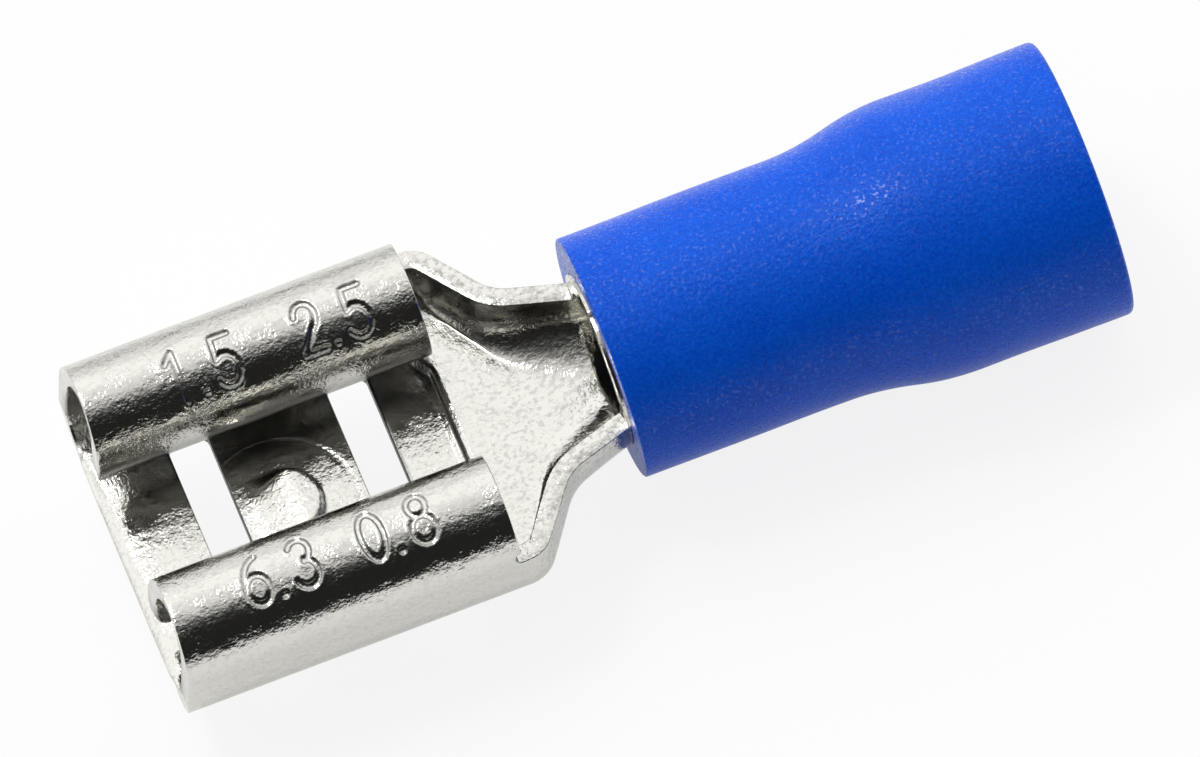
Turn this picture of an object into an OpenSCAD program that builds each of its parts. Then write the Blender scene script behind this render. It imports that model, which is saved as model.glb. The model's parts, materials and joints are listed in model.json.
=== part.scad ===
// Female spade terminal, 6.3 x 0.8 mm series: a stamped and rolled brass receptacle
// whose neck runs back into a wire barrel, with a flared plastic sleeve over the barrel.
// The axis runs along X from the mouth (-X) to the wire end (+X). Millimetres.

/* [Sheet] */
// Thickness of the tinned brass sheet
sheet_t = 0.4; // [0.3:0.05:0.45]

/* [Receptacle] */
// Width over the two side walls
recept_w = 7.4; // [7:0.1:8.2]
// Length from the mouth to the rear of the curls
recept_l = 7; // [6.4:0.1:8]
// Height from the underside of the base to the top of the curls
recept_h = 2.95; // [2.8:0.05:3.4]
// Outer radius of the bend between base and wall
bend_r = 1; // [0.7:0.05:1.1]
// Outer radius of the curls
curl_r = 1.15; // [0.95:0.05:1.2]
// Room left for the tab between the base and the edges of the curls
tab_gap = 0.66; // [0.5:0.02:0.8]
// How far the top of the curls lies behind the mouth
mouth_rake = 0.26; // [0:0.02:0.4]
// Radius of the front corners of the rolled lips
lip_corner_r = 0.45; // [0.2:0.05:0.6]
// Length of the bevel that leads the tab in
lead_in = 0.16; // [0.05:0.01:0.2]

/* [Slots and locking lance] */
// Distance from the mouth to the first cross slot
slot_x = 1.61; // [1.3:0.01:1.9]
// Size of the cross slots along the terminal
slot_l = 0.82; // [0.5:0.01:1]
// Length of the cross slots across the terminal
slot_w = 4.6; // [3.6:0.1:5.2]
// Width of the bridge between the two slots
bridge_l = 2.46; // [2.2:0.02:2.7]
// Radius of the raised lance in plan
lance_r = 0.88; // [0.6:0.02:0.95]
// Height of the lance over the bridge
lance_h = 0.28; // [0.15:0.01:0.34]
// Height of the ridge that stops the tab
stop_h = 0.2; // [0.1:0.01:0.24]

/* [Neck and wire barrel] */
// Length of the open neck between the curls and the sleeve
neck_l = 2.95; // [2.7:0.05:3.4]
// Height of the neck flanges over the underside of the base
flange_h = 1.66; // [1.5:0.02:1.8]
// Radius of the shoulder where each flange turns inwards
shoulder_r = 0.5; // [0.3:0.05:0.6]
// Steepest angle of the flanges to the axis
shoulder_a = 55; // [50:1:60]
// Radius where the flanges straighten out again
throat_r = 1.2; // [0.8:0.05:1.4]
// Angle at which the flanges run into the barrel
tail_a = 18; // [14:1:20]
// Bore of the wire barrel
barrel_d = 2.7; // [2.3:0.05:2.8]
// Length of the wire barrel
barrel_l = 6; // [5:0.1:6.2]
// How far the barrel stands out of the front of the sleeve
barrel_proud = 0.06; // [0.02:0.01:0.2]
// Height of the barrel axis over the underside of the base
axis_h = 1.5; // [1.4:0.02:1.6]
// Width of the closed seam along the top of the barrel
seam_w = 0.08; // [0.04:0.01:0.12]

/* [Insulating sleeve] */
// Length of the sleeve
sleeve_l = 10; // [9.6:0.1:12]
// Diameter of the sleeve over the barrel
sleeve_d = 4.94; // [4.7:0.02:5.1]
// Diameter of the flared wire end
flare_d = 5.6; // [5.5:0.02:6]
// Length of the narrow part of the sleeve
narrow_l = 4.25; // [4:0.05:4.6]
// Length of the S-shaped flare
flare_l = 2.7; // [2.2:0.05:2.8]
// Opening for the insulated wire
entry_d = 4.4; // [4.2:0.05:4.5]
// Radius of the edges of the sleeve
sleeve_edge_r = 0.18; // [0.08:0.01:0.22]

/* [Hidden] */

$fn = 96;
eps = 0.01;
fit_gap = 0.01;

// Places along the axis, measured from the mouth, and the frame of the whole part
sleeve_x = recept_l + neck_l;
barrel_x = sleeve_x - barrel_proud;
total_l = sleeve_x + sleeve_l;
axis_z = flare_d / 2;
base_z = axis_z - axis_h;

// Heights and half widths of the receptacle, from the underside of the base
half_w = recept_w / 2;
curl_y = half_w - curl_r;
curl_z = recept_h - curl_r;
lip_a = 180 + asin((curl_z - sheet_t - tab_gap) / curl_r);
slot2_x = slot_x + slot_l + bridge_l;
slot_corner_r = 0.2;
relief_r = 0.14;

// The tab stop lies across the base, just ahead of the rear of the curls
stop_x = recept_l - 0.3;
stop_ramp = 0.2;
stop_half_w = 1.9;
stop_corner_r = 0.35;

// The lance is a shallow dome, cut off by an upright round edge at its rear
dome_r = 1.5;
lance_x = slot_x + slot_l + lance_r - 0.05;
dome_x = lance_x + 0.3;

// Radii of the barrel
barrel_r = barrel_d / 2 + sheet_t;
barrel_mid_r = barrel_r - sheet_t / 2;

// ---- flat helpers ----

function polar(r, a) = [r * cos(a), r * sin(a)];
function smooth(t) = let (u = min(1, max(0, t))) u * u * (3 - 2 * u);
function blend(a, b, t) = a + (b - a) * t;

// Bent sheet: the part of a ring of outer radius r between two angles
module bend(r, a0, a1) {
    intersection() {
        difference() {
            circle(r);
            circle(r - sheet_t);
        }
        polygon([[0, 0], for (k = [0:3]) polar(2 * r, blend(a0, a1, k / 3))]);
    }
}

module rounded_rect(l, w, r) {
    square([l, w - 2 * r], center = true);
    square([l - 2 * r, w], center = true);
    for (x = [-1, 1], y = [-1, 1])
        translate([x * (l / 2 - r), y * (w / 2 - r)]) circle(r);
}

// Stands a flat section up across the axis and draws it out from x0 to x1
module along_axis(x0, x1) {
    translate([x0, 0, 0]) rotate([90, 0, 90]) linear_extrude(x1 - x0) children();
}

// Draws an outline given in X and Z out to both sides of the axis
module across(w) {
    rotate([90, 0, 0]) linear_extrude(w, center = true) children();
}

// ---- receptacle ----

module recept_section() {
    translate([-half_w + bend_r, 0]) square([recept_w - 2 * bend_r, sheet_t]);
    for (side = [0, 1]) mirror([side, 0]) {
        translate([half_w - bend_r, bend_r]) bend(bend_r, -90, 0);
        translate([half_w - sheet_t, bend_r]) square([sheet_t, curl_z - bend_r]);
        translate([curl_y, curl_z]) bend(curl_r, 0, lip_a);
    }
}

// Everything above the bends leans back from the mouth
module mouth_trim() {
    across(recept_w + 1) polygon([
        [-1, bend_r], [0, bend_r], [mouth_rake, recept_h], [mouth_rake, recept_h + 1], [-1, recept_h + 1]
    ]);
}

module lead_in_bevel() {
    across(recept_w - 2 * bend_r) polygon([
        [-eps, sheet_t - lead_in / 2], [lead_in, sheet_t + eps], [-eps, sheet_t + eps]
    ]);
}

// Rounds the front corner of one lip; the cut is made square to the curled sheet
module lip_corner() {
    r = lip_corner_r;
    x = mouth_rake * (curl_z - bend_r) / (recept_h - bend_r) - 0.05;
    translate([x, curl_y, curl_z]) rotate([lip_a - 14, 0, 0])
        translate([0, curl_r - 1.6 * sheet_t, 0]) rotate([-90, 0, 0]) linear_extrude(3 * sheet_t)
            difference() {
                translate([-1, -curl_r * sin(14) - 0.2]) square([1 + r, r + 0.2]);
                translate([r, r - curl_r * sin(14)]) circle(r);
            }
}

module slot(x) {
    translate([x + slot_l / 2, 0, -1]) linear_extrude(2)
        rounded_rect(slot_l, slot_w, slot_corner_r);
}

// The lance stands up out of the bridge; the same dome, smaller, hollows it from below
module lance(inset) {
    top = sheet_t + lance_h - inset;
    intersection() {
        translate([dome_x, 0, top - dome_r]) sphere(dome_r);
        translate([lance_x, 0, -1]) cylinder(r = lance_r - inset, h = 3);
    }
}

module tab_stop() {
    intersection() {
        translate([stop_x + recept_l / 2, 0, sheet_t / 2]) linear_extrude(2)
            rounded_rect(recept_l, 2 * stop_half_w, stop_corner_r);
        across(2 * stop_half_w) polygon([
            [stop_x, sheet_t / 2], [stop_x, sheet_t], [stop_x + stop_ramp, sheet_t + stop_h],
            [recept_l, sheet_t + stop_h], [recept_l, sheet_t / 2]
        ]);
    }
}

// Rounded notch between the rear of each curl and the top of the flange behind it
module relief_notches() {
    translate([recept_l, 0, flange_h + relief_r + eps]) rotate([90, 0, 0])
        cylinder(r = relief_r, h = recept_w + 1, center = true);
}

module receptacle() {
    difference() {
        union() {
            along_axis(0, recept_l) recept_section();
            intersection() {
                lance(0);
                translate([0, -2, sheet_t / 2]) cube([recept_l, 4, 2]);
            }
        }
        mouth_trim();
        lead_in_bevel();
        for (side = [0, 1]) mirror([0, side, 0]) lip_corner();
        slot(slot_x);
        slot(slot2_x);
        intersection() {
            lance(0.22);
            translate([0, -2, -1]) cube([recept_l, 4, 3]);
        }
        relief_notches();
    }
    tab_stop();
}

// ---- neck: the sheet between the receptacle and the barrel ----

// The flanges run straight, round the shoulder, straight, round the throat and straight
// into the barrel. Each station is [x from the mouth, half width of mid sheet, heading].
flange_y0 = half_w - sheet_t / 2;
run_x = barrel_x - recept_l;
drop_y = flange_y0 - barrel_mid_r;
straight_0 = 0.11;
arcs_x = shoulder_r * sin(shoulder_a) + throat_r * (sin(shoulder_a) - sin(tail_a));
arcs_y = shoulder_r * (1 - cos(shoulder_a)) + throat_r * (cos(tail_a) - cos(shoulder_a));
free_x = run_x - straight_0 - arcs_x;
slope_l = (drop_y - arcs_y - free_x * tan(tail_a)) / (sin(shoulder_a) - cos(shoulder_a) * tan(tail_a));
throat_x = recept_l + straight_0 + shoulder_r * sin(shoulder_a) + slope_l * cos(shoulder_a);
throat_y = flange_y0 - shoulder_r * (1 - cos(shoulder_a)) - slope_l * sin(shoulder_a);
arc_steps = 7;
// The neck is a hair thinner than the sheet and reaches a little into what it joins
neck_t = sheet_t - 2 * eps;
root_l = 0.05;

function shoulder_station(a) = [
    recept_l + straight_0 + shoulder_r * sin(a), flange_y0 - shoulder_r * (1 - cos(a)), a
];
function throat_station(a) = [
    throat_x + throat_r * (sin(shoulder_a) - sin(a)), throat_y - throat_r * (cos(a) - cos(shoulder_a)), a
];
function between(s, e, t) = [for (k = [0:2]) blend(s[k], e[k], t)];

stations = let (
    root = [recept_l - root_l, flange_y0, 0],
    shoulder = [for (k = [0:arc_steps]) shoulder_station(shoulder_a * k / arc_steps)],
    throat = [for (k = [0:arc_steps]) throat_station(blend(shoulder_a, tail_a, k / arc_steps))],
    end = [barrel_x, barrel_mid_r, 0]
) concat(
    [root], shoulder,
    [for (k = [1:2]) between(shoulder[arc_steps], throat[0], k / 3)],
    throat,
    [for (k = [1:3]) between(throat[arc_steps], end, k / 4)],
    [end, [barrel_x + root_l, barrel_mid_r, 0]]
);

// Half of the mid sheet's section at a station: floor, corner and wall, walked in even
// steps. Each point is [y, z, and the two parts of the direction of its outside]. The
// corner grows until the section is the lower half of the barrel.
section_steps = 16;

function stop_lift(y, p) = stop_h * (1 - smooth(1.6 * p)) * (1 - smooth((abs(y) - 1.4) / 0.8));

function section_point(s, w, r, floor_z) = let (
    flat = w - r,
    a = min(90, max(0, (s - flat) / r * 180 / PI)),
    up = max(0, s - flat - r * PI / 2)
) [min(s, flat) + r * sin(a), floor_z + r * (1 - cos(a)) + up, sin(a), -cos(a)];

function half_section(w, p) = let (
    r = min(w, blend(bend_r - sheet_t / 2, barrel_mid_r, smooth(p))),
    floor_z = blend(sheet_t / 2, axis_h - barrel_mid_r, smooth(p)),
    length = w - r + r * PI / 2 + flange_h - floor_z - r
) [for (k = [0:section_steps]) let (q = section_point(length * k / section_steps, w, r, floor_z))
    [q[0], q[1] + stop_lift(q[0], p), q[2], q[3]]];

// One closed ring of points: along the outside of the sheet and back along its inside
function ring(st) = let (
    half = half_section(st[1], (st[0] - recept_l) / run_x),
    n = len(half),
    full = concat(
        [for (k = [n - 1:-1:1]) [-half[k][0], half[k][1], -half[k][2], half[k][3]]],
        half
    ),
    out_y = neck_t / 2 / cos(st[2]),
    side = function (s) [for (q = full)
        [st[0], q[0] + s * q[2] * out_y, q[1] + s * q[3] * neck_t / 2]]
) concat(side(1), [for (k = [len(full) - 1:-1:0]) side(-1)[k]]);

module neck() {
    rings = [for (st = stations) ring(st)];
    n = len(rings[0]);
    last = (len(rings) - 1) * n;
    points = [for (r = rings) for (q = r) q];
    half = n / 2;
    sides = [for (i = [0:len(rings) - 2]) for (k = [0:n - 1])
        let (a = i * n + k, b = i * n + (k + 1) % n) each [[a, a + n, b], [b, a + n, b + n]]];
    caps = [for (k = [0:half - 2]) let (a = k, b = k + 1, c = n - 1 - k, d = n - 2 - k)
        each [[a, b, c], [b, d, c], [last + a, last + c, last + b], [last + b, last + c, last + d]]];
    polyhedron(points, concat(sides, caps), convexity = 6);
}

// ---- wire barrel: the same sheet rolled to a tube, its seam on top ----

module barrel() {
    translate([barrel_x, 0, axis_h]) difference() {
        rotate([0, 90, 0]) cylinder(r = barrel_r, h = barrel_l);
        translate([-1, 0, 0]) rotate([0, 90, 0]) cylinder(d = barrel_d, h = barrel_l + 2);
        translate([-1, -seam_w / 2, 0]) cube([barrel_l + 2, seam_w, barrel_r + 1]);
    }
}

module terminal() {
    color("silver") translate([-total_l / 2, 0, base_z]) {
        receptacle();
        neck();
        barrel();
    }
}

// ---- insulating sleeve ----

// Outline of the sleeve from the axis outwards: x along the sleeve, y the radius.
// Two equal arcs that meet half way make the S of the flare.
module sleeve_outline() {
    r0 = sleeve_d / 2;
    rise = axis_z - r0;
    arc_r = (pow(flare_l / 2, 2) + pow(rise / 2, 2)) / rise;
    square([narrow_l, r0]);
    difference() {
        translate([narrow_l, 0]) square([flare_l / 2, r0 + rise / 2]);
        translate([narrow_l, r0 + arc_r]) circle(arc_r, $fn = 360);
    }
    intersection() {
        translate([narrow_l + flare_l / 2, 0]) square([flare_l / 2, axis_z]);
        translate([narrow_l + flare_l, axis_z - arc_r]) circle(arc_r, $fn = 360);
    }
    translate([narrow_l + flare_l, 0]) square([sleeve_l - narrow_l - flare_l, axis_z]);
}

// Takes the sharp corner off an outline at the given place; dx and dy point inwards
module corner_trim(x, y, dx, dy) {
    r = sleeve_edge_r;
    translate([x, y]) scale([dx, dy]) difference() {
        translate([-eps, -eps]) square(r + eps);
        translate([r, r]) circle(r);
    }
}

module sleeve_half() {
    barrel_end = barrel_x + barrel_l - sleeve_x;
    bore_r = barrel_r + fit_gap;
    entry_r = entry_d / 2;
    funnel_l = 2 * (entry_r - bore_r);
    difference() {
        sleeve_outline();
        polygon([
            [-1, -1], [-1, bore_r], [barrel_end, bore_r], [barrel_end + funnel_l, entry_r],
            [sleeve_l + 1, entry_r], [sleeve_l + 1, -1]
        ]);
        corner_trim(0, sleeve_d / 2, 1, -1);
        corner_trim(sleeve_l, axis_z, -1, -1);
    }
}

module insulating_sleeve() {
    color("royalblue") translate([sleeve_x - total_l / 2, 0, axis_z])
        rotate([0, 90, 0]) rotate_extrude() rotate(90) mirror([0, 1]) sleeve_half();
}

terminal();
insulating_sleeve();
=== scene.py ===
import json
from math import asin, atan2, cos, hypot, pi, radians, sin, sqrt, tan

import bmesh
import bpy
from mathutils import Matrix, Vector, noise


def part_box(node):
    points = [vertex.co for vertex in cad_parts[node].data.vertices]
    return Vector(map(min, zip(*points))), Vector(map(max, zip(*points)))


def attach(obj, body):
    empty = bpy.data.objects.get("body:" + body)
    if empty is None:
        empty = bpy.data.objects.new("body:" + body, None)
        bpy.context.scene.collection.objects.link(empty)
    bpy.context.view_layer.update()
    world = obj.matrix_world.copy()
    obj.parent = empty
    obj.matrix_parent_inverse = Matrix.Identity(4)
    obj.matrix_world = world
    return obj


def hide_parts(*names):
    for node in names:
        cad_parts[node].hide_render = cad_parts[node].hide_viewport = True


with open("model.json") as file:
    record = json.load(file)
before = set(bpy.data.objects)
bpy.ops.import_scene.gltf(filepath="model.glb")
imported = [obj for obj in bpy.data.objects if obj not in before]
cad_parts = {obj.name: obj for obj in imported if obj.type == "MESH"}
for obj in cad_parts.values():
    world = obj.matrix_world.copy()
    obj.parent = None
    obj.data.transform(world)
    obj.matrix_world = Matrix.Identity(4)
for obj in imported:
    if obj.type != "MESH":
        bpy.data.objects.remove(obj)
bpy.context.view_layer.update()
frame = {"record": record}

mm = 0.001
mounts = {mount["name"]: mount for mount in frame["record"]["mounts"]}


# Camera, floor and studio

cameraView = {
    "azimuth": -9.76,
    "elevation": 60.25,
    "roll": 12.16,
    "distance": 0.5208,
    "target": (-0.00019, -0.00041, 0.0028),
    "lens": 808.9,
    "clipStart": 0.01,
}


def addCamera(view):
    azimuth, elevation = radians(view["azimuth"]), radians(view["elevation"])
    back = Vector((sin(azimuth) * cos(elevation), -cos(azimuth) * cos(elevation), sin(elevation)))
    turn = back.to_track_quat("Z", "Y").to_matrix() @ Matrix.Rotation(-radians(view["roll"]), 3, "Z")
    camera = bpy.data.objects.new("camera", bpy.data.cameras.new("camera"))
    camera.data.lens = view["lens"]
    camera.data.clip_start = view["clipStart"]
    place = Vector(view["target"]) + back * view["distance"]
    camera.matrix_world = Matrix.Translation(place) @ turn.to_4x4()
    bpy.context.scene.collection.objects.link(camera)
    bpy.context.scene.camera = camera


addCamera(cameraView)
bpy.context.scene.view_settings.view_transform = "Standard"
print("camera set")


# Shader maths

class Signal:  # one output socket, ready for arithmetic

    def __init__(self, shading, socket):
        self.shading, self.socket = shading, socket

    def maths(self, operation, *values):
        return self.shading.add("ShaderNodeMath", {"operation": operation}, dict(enumerate(values)))

    def __add__(self, other):
        return self.maths("ADD", self, other)

    def __radd__(self, other):
        return self.maths("ADD", other, self)

    def __sub__(self, other):
        return self.maths("SUBTRACT", self, other)

    def __rsub__(self, other):
        return self.maths("SUBTRACT", other, self)

    def __mul__(self, other):
        return self.maths("MULTIPLY", self, other)

    def __rmul__(self, other):
        return self.maths("MULTIPLY", other, self)

    def __truediv__(self, other):
        return self.maths("DIVIDE", self, other)

    def __neg__(self):
        return self.maths("MULTIPLY", self, -1)


class Shading:  # the nodes of one material or world

    def __init__(self, owner):
        owner.use_nodes = True
        self.nodes, self.links = owner.node_tree.nodes, owner.node_tree.links
        self.nodes.clear()

    def add(self, kind, settings=None, inputs=None, output=0):
        node = self.nodes.new(kind)
        for name, value in (settings or {}).items():
            if name == "stops":
                self.setStops(node.color_ramp, value)
            else:
                setattr(node, name, value)
        for name, value in (inputs or {}).items():
            if isinstance(value, Signal):
                self.links.new(value.socket, node.inputs[name])
            else:
                node.inputs[name].default_value = value
        return Signal(self, node.outputs[output]) if len(node.outputs) else node

    def setStops(self, ramp, stops):
        while len(ramp.elements) < len(stops):
            ramp.elements.new(1)
        for element, (place, level) in zip(ramp.elements, stops):
            element.position = place
            element.color = (level, level, level, 1)

    def noise(self, coords, size, detail=2.0, roughness=0.5):  # size in millimetres
        return self.add("ShaderNodeTexNoise", {}, {
            "Vector": coords, "Scale": 1 / (size * mm), "Detail": detail, "Roughness": roughness})

    def between(self, value, low, high, start=0.0, end=1.0):  # eases from start to end as value rises
        return self.add("ShaderNodeMapRange", {"interpolation_type": "SMOOTHSTEP"}, {
            "Value": value, "From Min": low, "From Max": high, "To Min": start, "To Max": end})

    def mixColour(self, factor, first, second):
        return self.add("ShaderNodeMix", {"data_type": "RGBA"}, {
            "Factor": factor, 6: first, 7: second}, output=2)

    def bump(self, height, depth, under=None):  # depth in millimetres
        inputs = {"Strength": 1.0, "Distance": depth * mm, "Height": height}
        if under is not None:
            inputs["Normal"] = under
        return self.add("ShaderNodeBump", {}, inputs)

    def finish(self, inputs):
        surface = self.add("ShaderNodeBsdfPrincipled", {}, inputs)
        self.add("ShaderNodeOutputMaterial", {}, {"Surface": surface})


studio = {
    # brightness of the surroundings, by the angle over the horizon on the camera's side:
    # the dark room, the ceiling and the bright wall behind the object
    "surroundings": [(0, 0.03), (10, 0.02), (50, 0.02), (66, 0.06), (79, 0.4), (87, 0.8), (98, 0.98),
                     (110, 1.02), (119, 1.28), (146, 1.3), (158, 0.95), (180, 1.0)],
    "floorSize": 4.0,
    "floorColour": (0.9, 0.9, 0.9),
    "farColour": (0.05, 0.05, 0.05),
    "whiteShare": 0.86,
    "whiteInMetal": 0.5,
    "fadeInMetal": (0.015, 0.07),   # metal sees the floor darken over these distances
}


def addWorld(settings):
    world = bpy.data.worlds.new("studio")
    bpy.context.scene.world = world
    shading = Shading(world)
    direction = shading.add("ShaderNodeTexCoord")
    parts = shading.add("ShaderNodeSeparateXYZ", {}, {0: direction})
    north = Signal(shading, parts.socket.node.outputs["Y"])
    height = Signal(shading, parts.socket.node.outputs["Z"])
    turn = height.maths("ARCTAN2", height, -north) / pi
    stops = [(angle / 180, level) for angle, level in settings["surroundings"]]
    ramp = shading.add("ShaderNodeValToRGB", {"stops": stops}, {"Fac": turn})
    room = shading.add("ShaderNodeBackground", {}, {"Color": ramp})
    white = shading.add("ShaderNodeBackground", {}, {"Color": (1, 1, 1, 1)})
    shown = shading.add("ShaderNodeMixShader", {}, {
        0: shading.add("ShaderNodeLightPath", output="Is Camera Ray"), 1: room, 2: white})
    shading.add("ShaderNodeOutputWorld", {}, {"Surface": shown})


def addFloor(settings):
    flat = bmesh.new()
    bmesh.ops.create_grid(flat, x_segments=1, y_segments=1, size=settings["floorSize"] / 2)
    floor = makePiece("floor", flat)
    material = bpy.data.materials.new("pale floor")
    shading = Shading(material)
    camera = shading.add("ShaderNodeLightPath", output="Is Camera Ray")
    mirrored = (shading.add("ShaderNodeLightPath", output="Is Glossy Ray")
                + shading.add("ShaderNodeLightPath", output="Is Transmission Ray"))
    place = shading.add("ShaderNodeTexCoord", output="Object")
    distance = shading.add("ShaderNodeVectorMath", {"operation": "LENGTH"}, {0: place}, output="Value")
    far = mirrored * shading.between(distance, *settings["fadeInMetal"])
    share = camera * settings["whiteShare"] + mirrored * settings["whiteInMetal"]
    matte = shading.add("ShaderNodeBsdfDiffuse", {}, {"Color": (*settings["floorColour"], 1)})
    white = shading.add("ShaderNodeEmission", {}, {"Color": (1, 1, 1, 1)})
    grey = shading.add("ShaderNodeEmission", {}, {"Color": (*settings["farColour"], 1)})
    lit = shading.add("ShaderNodeMixShader", {}, {0: share, 1: matte, 2: white})
    mix = shading.add("ShaderNodeMixShader", {}, {0: far, 1: lit, 2: grey})
    shading.add("ShaderNodeOutputMaterial", {}, {"Surface": mix})
    floor.data.materials.append(material)


lamps = [
    {"name": "softbox", "place": (-0.14, 0.14, 0.46), "size": 0.09, "watts": 0.42, "seenInMetal": True},
    {"name": "key", "place": (-0.06, 0.25, 0.42), "size": 0.3, "watts": 0.42, "seenInMetal": False},
    {"name": "fill", "place": (-0.05, -0.3, 0.5), "size": 0.3, "watts": 0.3, "seenInMetal": False},
]
lampAim = (0, 0, 0.003)


def addLamp(settings):
    lamp = bpy.data.objects.new(settings["name"], bpy.data.lights.new(settings["name"], "AREA"))
    lamp.data.shape = "DISK"
    lamp.data.size = settings["size"]
    lamp.data.energy = settings["watts"]
    lamp.visible_glossy = settings["seenInMetal"]
    away = (Vector(settings["place"]) - Vector(lampAim)).normalized()
    turn = away.to_track_quat("Z", "Y").to_matrix().to_4x4()
    lamp.matrix_world = Matrix.Translation(settings["place"]) @ turn
    bpy.context.scene.collection.objects.link(lamp)


# Helpers for the pieces. Shapes are worked out in millimetres and made metres at the end.

def makePiece(name, shape, scale=1.0):
    bmesh.ops.scale(shape, vec=(scale,) * 3, verts=shape.verts)
    for face in shape.faces:
        face.smooth = True
    mesh = bpy.data.meshes.new(name)
    shape.to_mesh(mesh)
    shape.free()
    piece = bpy.data.objects.new(name, mesh)
    bpy.context.scene.collection.objects.link(piece)
    return piece


def smooth(value):
    value = min(1, max(0, value))
    return value * value * (3 - 2 * value)


def peak(away, half):  # 1 in the middle, falling to 0 on both sides
    return max(0, 1 - abs(away) / half)


def spacedLines(stops):  # each stop is a place and the step of the lines from there to the next
    lines = [stops[0][0]]
    for (start, step), (end, _) in zip(stops, stops[1:]):
        count = max(1, round((end - start) / step))
        lines += [start + (end - start) * k / count for k in range(1, count + 1)]
    return lines


addWorld(studio)
addFloor(studio)
for lampSettings in lamps:
    addLamp(lampSettings)
print("studio set")


# Terminal: one blank of sheet, cut flat and then folded

sheet = {
    "thickness": 0.4,
    "edgeRound": 0.035,       # rounding of the sheared edges
    "edgeAngle": 60,          # edges that turn by more than this are rounded
    "edgeSegments": 2,
    "recept": 7.0,            # mouth to the rear of the curls
    "height": 2.95,
    "bend": 1.0,
    "curl": 1.15,
    "tabGap": 0.66,
    "rake": 0.26,
    "rakeLength": 1.5,
    "lipCorner": {-1: 0.3, 1: 0.45},   # by side
    "leadIn": 0.16,
    "leadThinning": 0.5,
    "axisHeight": 1.5,
    "flangeTop": 1.66,
    "notch": 0.14,
    "seam": 0.08,
    "step": 0.085,            # spacing of the blank's lines
    "fineStep": 0.05,         # round the lance
    "finestStep": 0.03,       # along the tab stop
    "barrelStep": 0.6,
    "mapSize": 10,            # length of flat sheet in one unit of the map
}
slots = {"first": 1.61, "second": 4.89, "length": 0.82, "halfWidth": 2.3, "corner": 0.2}
lance = {"centre": 3.21, "radius": 0.86, "front": 0.78, "rise": 1.3, "height": 0.27, "rearEdge": 0.09,
         "sideEdge": 0.35, "rearReach": 1.5, "frontSoftness": 0.5, "ring": 1.5, "groove": 0.022,
         "grooveHalf": 0.06, "fineBeyond": 0.1}
tabStop = {"line": 6.87, "height": 0.2, "approach": 0.17, "approachRise": 0.04, "edge": 0.05,
           "crown": 0.1, "crownRise": 0.03, "straightHalf": 1.5, "bendForward": 0.25, "bendRun": 0.6,
           "sideEnd": 2.5, "wallFade": 0.9, "fineAhead": 0.25}
marks = {"height": 0.88, "gap": 0.16, "dotWidth": 0.25, "signWidth": 0.56,
         "stroke": 0.07, "depth": 0.045, "steepness": 1.6,
         "burr": 0.01, "burrOut": 0.03, "burrHalf": 0.04,
         "shade": 0.8, "shadeAt": 0.75, "shadeHalf": 0.03,
         "boxAhead": 0.12, "boxLength": 1.78, "boxHalf": 0.6, "cuts": 2,
         "rows": [(-1, 84, [("6.3", 1.75), ("0.8", 4.15)]), (1, 110, [("1.5", 1.9), ("2.5", 4.6)])]}
mouthBend = {"length": 1.15, "drop": 0.1}
flange = {"straight": 0.11, "shoulder": 0.5, "steepest": 55, "throat": 1.2, "tail": 18,
          "floorKept": 0.38, "ramp": 1.2, "floorTop": 0.15, "wallFade": 1.1}
press = {"top": 1.4, "creaseTop": 0.45, "slotsFrom": 1, "slotsTop": 0.5, "slotFacing": 0.6}
shade = {"dullness": 0.45,    # how dark the painted shade inside is, under the curls
         "skin": 0.1, "sideFrom": 0.65, "sideRun": 0.7, "mouthFrom": 0.6, "mouthRun": 0.8,
         "curlOver": 0.1, "curlRun": 0.5}
# widths and strengths of the painted shade in the creases
creases = {"half": 0.045, "stopHalf": 2.1, "rear": 0.8, "rearAt": 0.98, "rearFrom": 0.2, "rearRun": 0.5,
           "disc": 0.4, "discOut": 0.03, "discHalf": 0.04, "discPatches": 23, "slotHalf": 0.03}

terminalLow, terminalHigh = (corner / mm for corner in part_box("terminal"))
axisZ = mounts["wire_barrel"]["pos_m"][2] / mm
mouthX = terminalLow.x
baseZ = axisZ - sheet["axisHeight"]
barrelLength = mounts["wire_barrel"]["dims"]["length_mm"]
barrelX = terminalHigh.x - terminalLow.x - barrelLength
barrelMid = mounts["wire_barrel"]["dims"]["r_mm"] + sheet["thickness"] / 2
halfWidth = terminalHigh.y - sheet["thickness"] / 2
bendMid = sheet["bend"] - sheet["thickness"] / 2
curlMid = sheet["curl"] - sheet["thickness"] / 2
curlY = terminalHigh.y - sheet["curl"]
curlZ = sheet["height"] - sheet["curl"]
floorZ = sheet["thickness"] / 2

# Places along half of the unfolded section, from the middle of the floor
flatEnd = halfWidth - bendMid
bendEnd = flatEnd + bendMid * pi / 2
flangeEdge = bendEnd + sheet["flangeTop"] - sheet["bend"]
notchEnd = flangeEdge + 2 * sheet["notch"]
curlStart = bendEnd + curlZ - sheet["bend"]
lipAngle = pi + asin((curlZ - sheet["thickness"] - sheet["tabGap"]) / sheet["curl"])
lipEnd = curlStart + curlMid * lipAngle


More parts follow.
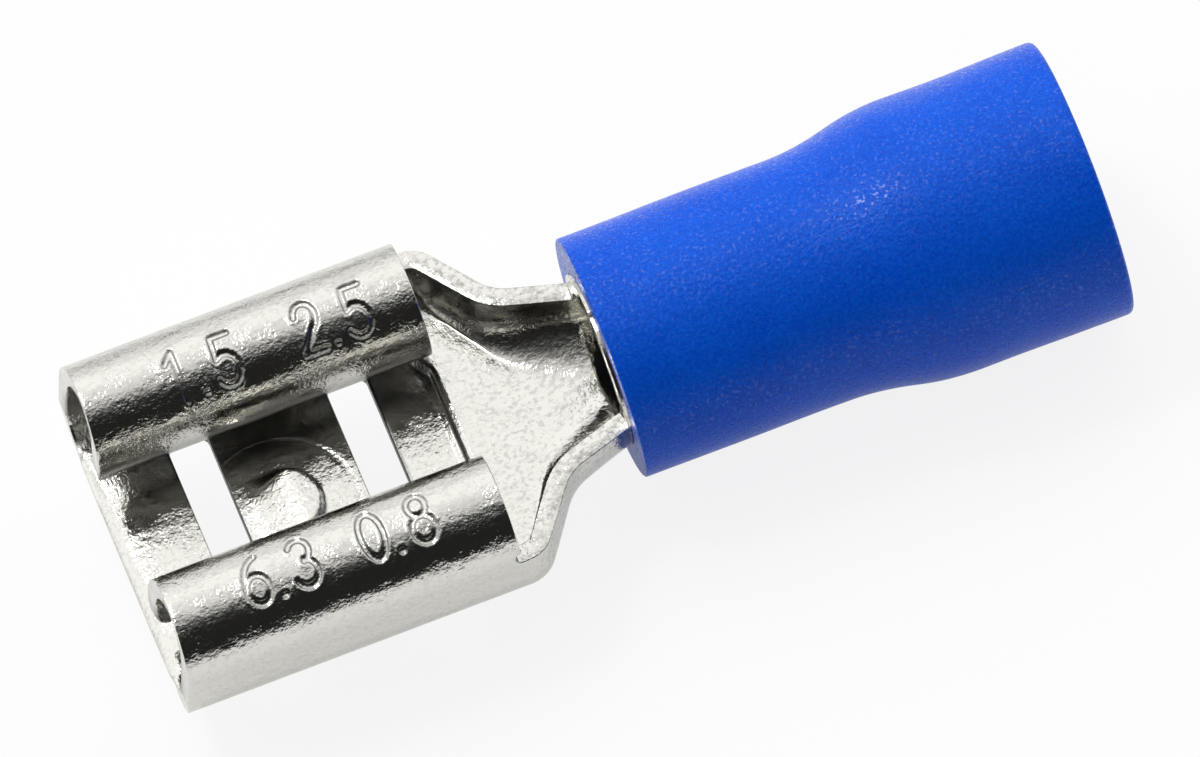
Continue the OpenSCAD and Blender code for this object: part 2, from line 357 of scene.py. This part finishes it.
def flangePath(x):  # half width of the mid sheet at a distance behind the receptacle
    steepest, tail = radians(flange["steepest"]), radians(flange["tail"])
    shoulder, throat, straight = flange["shoulder"], flange["throat"], flange["straight"]
    run = barrelX - sheet["recept"]
    arcsX = shoulder * sin(steepest) + throat * (sin(steepest) - sin(tail))
    arcsY = shoulder * (1 - cos(steepest)) + throat * (cos(tail) - cos(steepest))
    free = run - straight - arcsX
    drop = halfWidth - barrelMid - arcsY - free * tan(tail)
    slope = drop / (sin(steepest) - cos(steepest) * tan(tail))
    slopeX = straight + shoulder * sin(steepest)
    slopeY = halfWidth - shoulder * (1 - cos(steepest))
    throatX, throatY = slopeX + slope * cos(steepest), slopeY - slope * sin(steepest)
    tailX = throatX + throat * (sin(steepest) - sin(tail))
    tailY = throatY - throat * (cos(tail) - cos(steepest))
    if x <= straight:
        return halfWidth
    if x < slopeX:
        return halfWidth - shoulder * (1 - cos(asin((x - straight) / shoulder)))
    if x < throatX:
        return slopeY - (x - slopeX) * tan(steepest)
    if x < tailX:
        return throatY - throat * (cos(asin(sin(steepest) - (x - throatX) / throat)) - cos(steepest))
    return tailY + (barrelMid - tailY) * (x - tailX) / (run - tailX)


def foldedPoint(along, width, corner, lowest):  # floor, corner and wall
    flat = width - corner
    angle = min(pi / 2, max(0, (along - flat) / corner))
    rise = max(0, along - flat - corner * pi / 2)
    return min(along, flat) + corner * sin(angle), lowest + corner * (1 - cos(angle)) + rise


def neckShare(x):  # 0 at the rear of the receptacle, 1 at the barrel
    return (x - sheet["recept"]) / (barrelX - sheet["recept"])


def sectionPoint(x, along):  # where a place across the blank ends up, for a half that starts at the floor
    run = neckShare(x)
    if run <= 0:
        if along > curlStart:
            angle = (along - curlStart) / curlMid
            return curlY + curlMid * cos(angle), curlZ + curlMid * sin(angle)
        return foldedPoint(along, halfWidth, bendMid, floorZ)
    tubeLow = sheet["axisHeight"] - barrelMid
    if run < 1:
        width = flangePath(x - sheet["recept"])
        corner = min(width, bendMid + (barrelMid - bendMid) * smooth(run))
        lowest = floorZ + (tubeLow - floorZ) * smooth(run)
        length = width - corner + corner * pi / 2 + sheet["flangeTop"] - lowest - corner
        return foldedPoint(along / flangeEdge * length, width, corner, lowest)
    quarter = barrelMid * pi / 2 + sheet["flangeTop"] - tubeLow - barrelMid
    seamEnd = barrelMid * pi - sheet["seam"] / 2
    if along <= flangeEdge:
        arc = along / flangeEdge * quarter
    else:
        arc = quarter + (along - flangeEdge) / (lipEnd - flangeEdge) * (seamEnd - quarter)
    return barrelMid * sin(arc / barrelMid), sheet["axisHeight"] - barrelMid * cos(arc / barrelMid)


def lanceLift(x, y):  # a slope with a steep round edge at its rear, inside the ring that the punch leaves
    ahead = x - lance["centre"]
    ring = -lance["groove"] * smooth(1 - abs(lance["ring"] - hypot(ahead, y)) / lance["grooveHalf"])
    reach = hypot(max(0, ahead), y) / lance["radius"]
    if reach >= 1 or ahead < -lance["front"]:
        return ring
    rearward = max(0, ahead) / max(hypot(max(0, ahead), y), 1e-6)
    edge = lance["sideEdge"] + (lance["rearEdge"] - lance["sideEdge"]) * smooth(lance["rearReach"] * rearward)
    edge += lance["frontSoftness"] * max(0, -ahead / lance["front"])
    slope = smooth((ahead + lance["front"]) / lance["rise"])
    return ring + lance["height"] * slope * smooth((1 - reach) / edge)


def stopLine(y):  # where the tab stop begins; both its ends bend forward
    bent = smooth((abs(y) - tabStop["straightHalf"]) / tabStop["bendRun"])
    return tabStop["line"] - tabStop["bendForward"] * bent


def stopLift(x, y):  # the step that stops the tab; the neck's floor goes on at its height
    past = x - stopLine(y)
    low, high = tabStop["approachRise"], tabStop["height"] - tabStop["crownRise"]
    if past < 0:
        lift = low * smooth(1 + past / tabStop["approach"])
    elif past < tabStop["edge"]:
        lift = low + (high - low) * past / tabStop["edge"]
    else:
        lift = high + tabStop["crownRise"] * smooth((past - tabStop["edge"]) / tabStop["crown"])
    return lift * (1 - smooth(neckShare(x)))


def neckLift(x, z):  # inside, the neck's floor stays nearly level, so the sheet is thicker there
    level = smooth(neckShare(x)) * (1 - smooth((x - barrelX) / flange["ramp"]))
    return flange["floorKept"] * level * (1 - smooth((z - flange["floorTop"]) / flange["wallFade"]))


def floorLift(x, y, z, inside):
    outward = smooth((abs(y) - tabStop["straightHalf"]) / (tabStop["sideEnd"] - tabStop["straightHalf"]))
    stop = stopLift(x, y) * (1 - smooth((z - sheet["thickness"]) / tabStop["wallFade"]))
    if not inside:
        stop *= 1 - outward
    mouth = mouthBend["drop"] * max(0, 1 - x / mouthBend["length"]) ** 2
    kept = neckLift(x, z) if inside else 0
    return lanceLift(x, y) + stop + kept - mouth * (1 - outward)


def cutOut(blank, x0, x1, y0, y1):
    gone = []
    for face in blank.faces:
        middle = face.calc_center_median()
        if x0 < middle.x < x1 and y0 < abs(middle.y) < y1:
            gone.append(face)
    bmesh.ops.delete(blank, geom=gone, context="FACES")


def roundCorner(blank, x, y, reach, wayX, wayY):  # draws the corner at x, y back on to an arc
    for vert in blank.verts:
        a = 1 - (x - vert.co.x) * wayX / reach
        b = 1 - (y - vert.co.y) * wayY / reach
        if 0 < a < 2 and 0 < b < 2:
            nearA, nearB = min(1, a), min(1, b)
            fade = 1 - max(a - nearA, b - nearB)
            vert.co.x += wayX * reach * fade * nearA * (sqrt(1 - nearB * nearB / 2) - 1)
            vert.co.y += wayY * reach * fade * nearB * (sqrt(1 - nearA * nearA / 2) - 1)


def slotStops(start, stepBehind):
    corner, end, step = slots["corner"], start + slots["length"], sheet["step"]
    return [(start, step), (start + corner, step), (end - corner, step), (end, stepBehind)]


def makeBlank():
    recept, corner, step = sheet["recept"], slots["corner"], sheet["step"]
    fine, finest = sheet["fineStep"], sheet["finestStep"]
    linesX = spacedLines([
        (0, step), (sheet["leadIn"], step), (sheet["lipCorner"][1], step),
        *slotStops(slots["first"], fine), *slotStops(slots["second"], step),
        (tabStop["line"] - tabStop["fineAhead"], finest), (recept - sheet["notch"], finest), (recept, finest),
        (recept + flange["straight"], step), (barrelX, sheet["barrelStep"]), (barrelX + barrelLength, 0)])
    half = spacedLines([
        (0, fine), (lance["ring"] + lance["fineBeyond"], step),
        (slots["halfWidth"] - corner, step), (slots["halfWidth"], step),
        (flatEnd, step), (bendEnd, step), (flangeEdge, step), (notchEnd, step),
        (lipEnd - sheet["lipCorner"][1], step), (lipEnd, 0)])
    linesY = [-line for line in reversed(half[1:])] + half
    blank = bmesh.new()
    columns, rows = len(linesX) - 1, len(linesY) - 1
    bmesh.ops.create_grid(blank, x_segments=columns, y_segments=rows, size=1)
    for vert in blank.verts:
        vert.co.x = linesX[round((vert.co.x + 1) / 2 * columns)]
        vert.co.y = linesY[round((vert.co.y + 1) / 2 * rows)]
    return blank


def cutBlank(blank):
    recept, corner = sheet["recept"], slots["corner"]
    for start in (slots["first"], slots["second"]):
        cutOut(blank, start, start + slots["length"], -1, slots["halfWidth"])
    cutOut(blank, recept, barrelX, flangeEdge, lipEnd)
    cutOut(blank, recept - sheet["notch"], recept, flangeEdge, notchEnd)
    for side in (-1, 1):
        for start in (slots["first"], slots["second"]):
            roundCorner(blank, start, side * slots["halfWidth"], corner, -1, side)
            roundCorner(blank, start + slots["length"], side * slots["halfWidth"], corner, 1, side)
        roundCorner(blank, 0, side * lipEnd, sheet["lipCorner"][side], -1, side)
        notchFront = recept - sheet["notch"]
        roundCorner(blank, notchFront, side * flangeEdge, sheet["notch"], -1, -side)
        roundCorner(blank, notchFront, side * notchEnd, sheet["notch"], -1, side)


def foldBlank(blank):
    leadIn = blank.verts.layers.deform.verify()
    flatMap = blank.loops.layers.uv.new("sheet")
    for face in blank.faces:
        for loop in face.loops:
            loop[flatMap].uv = loop.vert.co.x / sheet["mapSize"], loop.vert.co.y / sheet["mapSize"]
    for vert in blank.verts:
        x, along = vert.co.x, vert.co.y
        side = -1 if along < 0 else 1
        y, z = sectionPoint(x, abs(along))
        thinned = 0
        if abs(along) < flatEnd:
            thinned = sheet["leadThinning"] * sheet["leadIn"] * max(0, 1 - x / sheet["leadIn"])
            z -= thinned / 2
        vert[leadIn][0] = 1 - thinned / sheet["thickness"]
        lean = max(0, z - sheet["bend"]) / (sheet["height"] - sheet["bend"])
        x += sheet["rake"] * lean * (1 - smooth(x / sheet["rakeLength"]))
        vert.co = mouthX + x, side * y, baseZ + z


def arc(x, y, width, height, start, end, steps=10):
    turns = [radians(start + (end - start) * k / steps) for k in range(steps + 1)]
    return [(x + width * cos(turn), y + height * sin(turn)) for turn in turns]


strokes = {  # each sign is drawn with lines through points, in a box of height 1
    "0": [arc(0.28, 0.5, 0.26, 0.48, 0, 360, 16)],
    "1": [[(0.1, 0.78), (0.32, 1), (0.32, 0)]],
    "2": [arc(0.28, 0.72, 0.24, 0.27, 170, -35) + [(0.03, 0.02), (0.55, 0.02)]],
    "3": [arc(0.26, 0.74, 0.23, 0.25, 155, -80), arc(0.26, 0.27, 0.27, 0.26, 80, -155)],
    "5": [[(0.5, 0.98), (0.1, 0.98), (0.07, 0.53)] + arc(0.25, 0.3, 0.28, 0.3, 125, -150)],
    "6": [arc(0.52, 0.3, 0.5, 0.68, 100, 180), arc(0.28, 0.29, 0.26, 0.28, 0, 360, 14)],
    "8": [arc(0.28, 0.75, 0.21, 0.23, 0, 360, 14), arc(0.28, 0.27, 0.26, 0.26, 0, 360, 14)],
    ".": [[(0.06, 0.03), (0.09, 0.03)]],
}


def markMiddle(side, turn):
    return side * (curlStart + curlMid * radians(turn))


def markLines():  # the lines of all the stamped numbers, in the flat blank
    lines = []
    height = marks["height"]
    for side, turn, numbers in marks["rows"]:
        middle = markMiddle(side, turn)
        for number, start in numbers:
            x = start
            for sign in number:
                for stroke in strokes[sign]:
                    points = [(x + px * height, middle + (0.5 - py) * height) for px, py in stroke]
                    lines += list(zip(points, points[1:]))
                width = marks["dotWidth"] if sign == "." else marks["signWidth"]
                x += width * height + marks["gap"] * height
    return lines


def markBoxes():  # the places of the numbers, in the flat blank
    boxes = []
    for side, turn, numbers in marks["rows"]:
        middle, half = markMiddle(side, turn), marks["boxHalf"]
        for _, start in numbers:
            end = start + marks["boxLength"] * marks["height"]
            boxes.append((start - marks["boxAhead"], end, middle - half, middle + half))
    return boxes


def distanceTo(x, y, line):
    (ax, ay), (bx, by) = line
    lengthSquared = (bx - ax) ** 2 + (by - ay) ** 2
    share = min(1, max(0, ((x - ax) * (bx - ax) + (y - ay) * (by - ay)) / lengthSquared))
    return hypot(x - ax - share * (bx - ax), y - ay - share * (by - ay))


def refineMarks(blank):
    for x0, x1, y0, y1 in markBoxes():
        inside = set()
        for face in blank.faces:
            middle = face.calc_center_median()
            if x0 < middle.x < x1 and y0 < middle.y < y1:
                inside.update(face.edges)
        bmesh.ops.subdivide_edges(blank, edges=list(inside), cuts=marks["cuts"], use_grid_fill=True)


def applyModifiers(piece):
    bpy.context.view_layer.update()
    evaluated = piece.evaluated_get(bpy.context.evaluated_depsgraph_get())
    finished = bpy.data.meshes.new_from_object(evaluated)
    piece.modifiers.clear()
    piece.data = finished


def stampDepth(distance):  # by the distance from the line of a stroke, with a small burr round it
    sunk = marks["depth"] * smooth((marks["stroke"] - distance) / marks["stroke"] * marks["steepness"])
    return sunk - marks["burr"] * peak(distance - marks["stroke"] - marks["burrOut"], marks["burrHalf"])


# painted shade along the strokes of the stamped numbers
def stampShade(distance):
    return marks["shade"] * peak(distance - marks["stroke"] * marks["shadeAt"], marks["shadeHalf"])


def limitEdges(shape):  # only the cross walls of the slots keep the material of the sheared edges
    for face in shape.faces:
        middle = face.calc_center_median() / mm
        alongSlots = press["slotsFrom"] < middle.x - mouthX < sheet["recept"]
        inSlots = alongSlots and middle.z - baseZ < press["slotsTop"]
        if abs(face.normal.x) < press["slotFacing"] or not inSlots:
            face.material_index = 0


def pressDetails(piece):  # pressed into the sheet once it has its thickness
    shape = bmesh.new()
    shape.from_mesh(piece.data)
    # painted shade, point by point: along creases, inside under the curls and in the strokes of the stamped
    # numbers
    crease = shape.verts.layers.float.new("crease")
    flatMap = shape.loops.layers.uv["sheet"]
    shape.normal_update()
    lines, boxes = markLines(), markBoxes()
    moves = []
    for vert in shape.verts:
        x, y, z = vert.co.x / mm - mouthX, vert.co.y / mm, vert.co.z / mm - baseZ
        if z < press["top"] and x < barrelX + flange["ramp"]:
            inside = vert.normal.z > vert.normal.y * (1 if y > 0 else -1)
            moves.append((vert, Vector((0, 0, floorLift(x, y, z, inside) * mm))))
            vert[crease] = creaseShadeAt(x, y) if z < press["creaseTop"] else 0
            if x < sheet["recept"]:
                vert[crease] = max(vert[crease], insideShade(x, abs(y), z))
            continue
        if not vert.link_loops:
            continue
        vert[crease] = insideShade(x, abs(y), z) if x < sheet["recept"] else 0
        if z < curlZ or hypot(abs(y) - curlY, z - curlZ) < curlMid:
            continue
        flatX, flatY = vert.link_loops[0][flatMap].uv * sheet["mapSize"]
        if any(x0 < flatX < x1 and y0 < flatY < y1 for x0, x1, y0, y1 in boxes):
            distance = min(distanceTo(flatX, flatY, line) for line in lines)
            moves.append((vert, -vert.normal * stampDepth(distance) * mm))
            vert[crease] = stampShade(distance)
    for vert, move in moves:
        vert.co += move
    limitEdges(shape)
    shape.to_mesh(piece.data)
    shape.free()


def insideShade(x, y, z):  # painted shade inside, under the curls; the plating there is also rougher
    if z < sheet["thickness"] - shade["skin"] or y > halfWidth:
        return 0
    if z < sheet["bend"]:
        sideways = smooth((y - shade["sideFrom"]) / shade["sideRun"])
        return shade["dullness"] * sideways * smooth((x - shade["mouthFrom"]) / shade["mouthRun"])
    return shade["dullness"] * smooth((curlZ + shade["curlOver"] - z) / shade["curlRun"])


def creaseShadeAt(x, y):  # painted shade along the tab stop, the rear of the lance, its ring and the edges of the slots
    stop = 0
    if abs(y) < creases["stopHalf"]:
        stop = peak(x - stopLine(y) - tabStop["edge"] / 2, creases["half"])
    ahead = x - lance["centre"]
    reach = hypot(ahead, y)
    rear = 0
    if ahead > -creases["rearFrom"]:
        fade = smooth((ahead + creases["rearFrom"]) / creases["rearRun"])
        rear = creases["rear"] * peak(reach - lance["radius"] * creases["rearAt"], creases["half"]) * fade
    patches = 0.5 + 0.5 * sin(creases["discPatches"] * atan2(y, ahead))
    disc = creases["disc"] * peak(reach - lance["ring"] - creases["discOut"], creases["discHalf"]) * patches
    slotEdge = 0
    if abs(y) < slots["halfWidth"]:
        for start in (slots["first"], slots["second"]):
            slotEdge = max(slotEdge, peak(x - start - slots["length"], creases["slotHalf"]))
    return max(stop, rear, disc, slotEdge)


def buildTerminal():
    blank = makeBlank()
    cutBlank(blank)
    refineMarks(blank)
    foldBlank(blank)
    bmesh.ops.recalc_face_normals(blank, faces=blank.faces)
    piece = makePiece("stamped_terminal", blank, mm)
    piece.vertex_groups.new(name="full thickness")
    wall = piece.modifiers.new("sheet thickness", "SOLIDIFY")
    wall.thickness = sheet["thickness"] * mm
    wall.offset = 0
    wall.use_even_offset = True
    wall.vertex_group = "full thickness"
    wall.material_offset_rim = 1
    piece.data.materials.append(tinFinish())
    piece.data.materials.append(shadedEdgeFinish())
    applyModifiers(piece)
    pressDetails(piece)
    edges = piece.modifiers.new("sheared edges", "BEVEL")
    edges.width = sheet["edgeRound"] * mm
    edges.segments = sheet["edgeSegments"]
    edges.limit_method = "ANGLE"
    edges.angle_limit = radians(sheet["edgeAngle"])
    return piece


tin = {
    "low": (0.69, 0.68, 0.635, 1),
    "high": (0.73, 0.72, 0.67, 1),
    # colour of the painted shade; the pits and the torn flange tops use it too
    "dark": (0.03, 0.03, 0.035, 1),
    "tone": (0.9, 3.0),             # each pattern: size in millimetres, detail, roughness
    "specks": (0.055, 2.0, 0.6),
    "pebbles": (0.16, 2.0, 0.6),
    "streaks": (0.35, 3.0, 0.6),
    "streakStretch": (0.6, 1, 1),
    "patches": (0.6, 2.0),
    "torn": (0.12, 3.0),
    "pits": (0.1, 2.0),
    "gloss": (0.4, 3.0),
    "neckFade": (0.1, 0.6),         # behind the receptacle
    "neckCalm": 0.25,
    "floorFade": (0.6, 0.9),        # over the base
    "floorCalm": (0.6, 1.0),
    "patchRange": (0.4, 0.6, 0.5, 1.15),
    "creaseCalm": 1.6,
    "shearedFade": (-0.07, -0.03),  # from the top of the flanges
    "tornRange": (0.45, 0.7),
    "tornShare": 0.3,
    "pitRange": (0.48, 0.66),
    "pitShare": 0.09,
    "pitShareInNeck": 0.13,
    "roughness": (0.3, 0.7, 0.06, 0.13),
    "creaseRoughness": 0.3,
    "waveDepth": 0.012,
    "hammerDepth": 0.02,
    "grainDepth": 0.011,
}


def tinFinish():
    material = bpy.data.materials.new("tin plate")
    shading = Shading(material)
    place = shading.add("ShaderNodeTexCoord", output="Object")
    along = shading.add("ShaderNodeMapping", {}, {"Vector": place, "Scale": tin["streakStretch"]})
    lengthwise = shading.add("ShaderNodeSeparateXYZ", {}, {0: place}, output="X")
    height = shading.add("ShaderNodeSeparateXYZ", {}, {0: place}, output="Z")
    # the painted shade of the sheet's points darkens the colour; it also calms the bumps and raises the
    # roughness
    crease = shading.add("ShaderNodeAttribute", {"attribute_name": "crease"}, output="Fac")
    neckX, topZ = mouthX + sheet["recept"], baseZ + sheet["flangeTop"]
    neck = shading.between(lengthwise, *((neckX + edge) * mm for edge in tin["neckFade"]))
    overFloor = ((baseZ + edge) * mm for edge in tin["floorFade"])
    calm = (1 - neck * tin["neckCalm"]) * shading.between(height, *overFloor, *tin["floorCalm"])
    patches = shading.between(shading.noise(place, *tin["patches"]), *tin["patchRange"])
    rough = patches * (1 - crease * tin["creaseCalm"]) * calm
    sheared = neck * shading.between(height, *((topZ + edge) * mm for edge in tin["shearedFade"]))
    torn = shading.between(shading.noise(place, *tin["torn"]), *tin["tornRange"])
    # painted shade plus the torn mottling of the flange tops
    dark = crease + sheared * torn * tin["tornShare"]
    plate = shading.mixColour(shading.noise(place, *tin["tone"]), tin["low"], tin["high"])
    pits = shading.between(shading.noise(place, *tin["pits"]), *tin["pitRange"])
    pits = pits * (tin["pitShare"] + neck * tin["pitShareInNeck"])
    colour = shading.mixColour(dark + pits, plate, tin["dark"])
    roughness = shading.between(shading.noise(place, *tin["gloss"]), *tin["roughness"])
    roughness = roughness + dark * tin["creaseRoughness"]
    waves = shading.bump(shading.noise(along, *tin["streaks"]), tin["waveDepth"])
    pebbles, specks = shading.noise(place, *tin["pebbles"]), shading.noise(place, *tin["specks"])
    hammered = shading.bump((pebbles - 0.5) * rough, tin["hammerDepth"], waves)
    grain = shading.bump((specks - 0.5) * rough, tin["grainDepth"], hammered)
    shading.finish({"Base Color": colour, "Metallic": 1.0, "Roughness": roughness, "Normal": grain})
    return material


# the cut walls of the slots, painted nearly black as shade
shadedEdge = {
    "dark": (0.02, 0.02, 0.02, 1),
    "light": (0.14, 0.135, 0.12, 1),
    "torn": (0.1, 3.0),
    "roughness": (0.3, 0.7, 0.25, 0.5),
    "depth": 0.015,
}


def shadedEdgeFinish():  # the walls of the slots: uneven, and painted nearly black; the rough cut face is real, its darkness is painted shade
    material = bpy.data.materials.new("sheared edge")
    shading = Shading(material)
    place = shading.add("ShaderNodeTexCoord", output="Object")
    torn = shading.noise(place, *shadedEdge["torn"])
    colour = shading.mixColour(torn, shadedEdge["dark"], shadedEdge["light"])
    roughness = shading.between(torn, *shadedEdge["roughness"])
    grain = shading.bump(torn, shadedEdge["depth"])
    shading.finish({"Base Color": colour, "Metallic": 1.0, "Roughness": roughness, "Normal": grain})
    return material


terminal = buildTerminal()
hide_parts("terminal")
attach(terminal, "root")
print("terminal folded")


# Insulating sleeve

sleeve = {
    "narrow": 4.25,
    "narrowDiameter": 4.94,
    "flare": 2.7,
    "edgeRound": 0.14,
    "frontRound": 0.05,
    "boreRound": 0.04,
    "innerRound": 0.08,
    "boreGap": 0.01,          # between the barrel and the bore
    "funnelSlope": 2,
    "turns": 160,
    "longEdge": 1,            # edges over this length get more points
    "cuts": 24,
    "weld": 1e-5,
    "unevenness": 0.03,
    "unevennessScale": 0.45,
}


def roundedOutline(corners, steps=6):  # corners are (x, radius, rounding)
    outline = []
    count = len(corners)
    for k, (x, r, rounding) in enumerate(corners):
        here = Vector((x, r))
        before = Vector(corners[k - 1][:2]) - here
        after = Vector(corners[(k + 1) % count][:2]) - here
        if rounding == 0:
            outline.append(here)
            continue
        for i in range(steps + 1):
            t = i / steps
            start, end = here + before.normalized() * rounding, here + after.normalized() * rounding
            outline.append(start * (1 - t) ** 2 + here * 2 * t * (1 - t) + end * t ** 2)
    return outline


def flareOutline(start, length, low, high, steps=28):  # two equal arcs that meet half way
    rise = high - low
    radius = ((length / 2) ** 2 + (rise / 2) ** 2) / rise
    points = []
    for i in range(1, steps):
        x = length * i / steps
        if x < length / 2:
            y = low + radius - sqrt(radius ** 2 - x ** 2)
        else:
            y = high - radius + sqrt(radius ** 2 - (length - x) ** 2)
        points.append((start + x, y, 0))
    return points


def buildSleeve():
    low, high = (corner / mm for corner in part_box("insulating_sleeve"))
    outer = high.y
    narrow = sleeve["narrowDiameter"] / 2
    flareX = low.x + sleeve["narrow"]
    barrelEnd = terminalHigh.x
    bore = barrelMid + sheet["thickness"] / 2 + sleeve["boreGap"]
    entry = mounts["wire_entry"]["dims"]["r_mm"]
    corners = [
        (low.x, bore, sleeve["boreRound"]), (low.x, narrow, sleeve["frontRound"]), (flareX, narrow, 0),
        *flareOutline(flareX, sleeve["flare"], narrow, outer), (flareX + sleeve["flare"], outer, 0),
        (high.x, outer, sleeve["edgeRound"]), (high.x, entry, sleeve["innerRound"]),
        (barrelEnd + sleeve["funnelSlope"] * (entry - bore), entry, 0), (barrelEnd, bore, 0),
    ]
    shape = bmesh.new()
    verts = [shape.verts.new((point.x, 0, point.y)) for point in roundedOutline(corners)]
    edges = [shape.edges.new((verts[k - 1], verts[k])) for k in range(len(verts))]
    longEdges = [edge for edge in edges if edge.calc_length() > sleeve["longEdge"]]
    bmesh.ops.subdivide_edges(shape, edges=longEdges, cuts=sleeve["cuts"])
    bmesh.ops.spin(shape, geom=shape.verts[:] + shape.edges[:], cent=(0, 0, 0), axis=(1, 0, 0),
                   angle=2 * pi, steps=sleeve["turns"], use_merge=True)
    bmesh.ops.remove_doubles(shape, verts=shape.verts, dist=sleeve["weld"])
    bmesh.ops.recalc_face_normals(shape, faces=shape.faces)
    bmesh.ops.translate(shape, vec=(0, 0, axisZ), verts=shape.verts)
    for vert in shape.verts:
        swell = 1 + sleeve["unevenness"] * noise.noise(vert.co * sleeve["unevennessScale"]) / outer
        vert.co.y *= swell
        vert.co.z = axisZ + (vert.co.z - axisZ) * swell
    return makePiece("flared_sleeve", shape, mm)


plastic = {
    "dark": (0.001, 0.054, 0.54, 1),
    "light": (0.002, 0.126, 0.8, 1),
    "tone": (2.0, 3.0),
    "grain": (0.075, 2.0, 0.6),
    "lumps": (1.2, 2.0),
    "specks": (0.07, 1.0),
    "toneShare": 0.6,
    "grainShare": 0.4,
    "grainRange": (0.3, 0.7),
    "upperFade": (-0.5, 1.5),   # from the axis
    "speckRange": (0.6, 0.68),
    "roughness": (0.2, 0.34),
    "specular": 0.12,
    "coatRoughness": 0.28,
    "lumpDepth": 0.03,
    "grainDepth": 0.02,
}


def plasticFinish():
    material = bpy.data.materials.new("blue plastic")
    shading = Shading(material)
    place = shading.add("ShaderNodeTexCoord", output="Object")
    height = shading.add("ShaderNodeSeparateXYZ", {}, {0: place}, output="Z")
    tone, grain = shading.noise(place, *plastic["tone"]), shading.noise(place, *plastic["grain"])
    fine = shading.between(grain, *plastic["grainRange"])
    mottled = tone * plastic["toneShare"] + fine * plastic["grainShare"]
    upper = shading.between(height, *((axisZ + edge) * mm for edge in plastic["upperFade"]))
    specks = shading.between(shading.noise(place, *plastic["specks"]), *plastic["speckRange"]) * upper
    colour = shading.mixColour(mottled, plastic["dark"], plastic["light"])
    roughness = shading.between(grain, *plastic["grainRange"], *plastic["roughness"])
    waves = shading.bump(shading.noise(place, *plastic["lumps"]), plastic["lumpDepth"])
    bumps = shading.bump(grain, plastic["grainDepth"], waves)
    shading.finish({
        "Base Color": colour, "Roughness": roughness, "Specular IOR Level": plastic["specular"],
        "Normal": bumps, "Coat Weight": specks, "Coat Roughness": plastic["coatRoughness"]})
    return material


sleevePiece = buildSleeve()
sleevePiece.data.materials.append(plasticFinish())
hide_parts("insulating_sleeve")
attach(sleevePiece, "root")
print("sleeve turned")
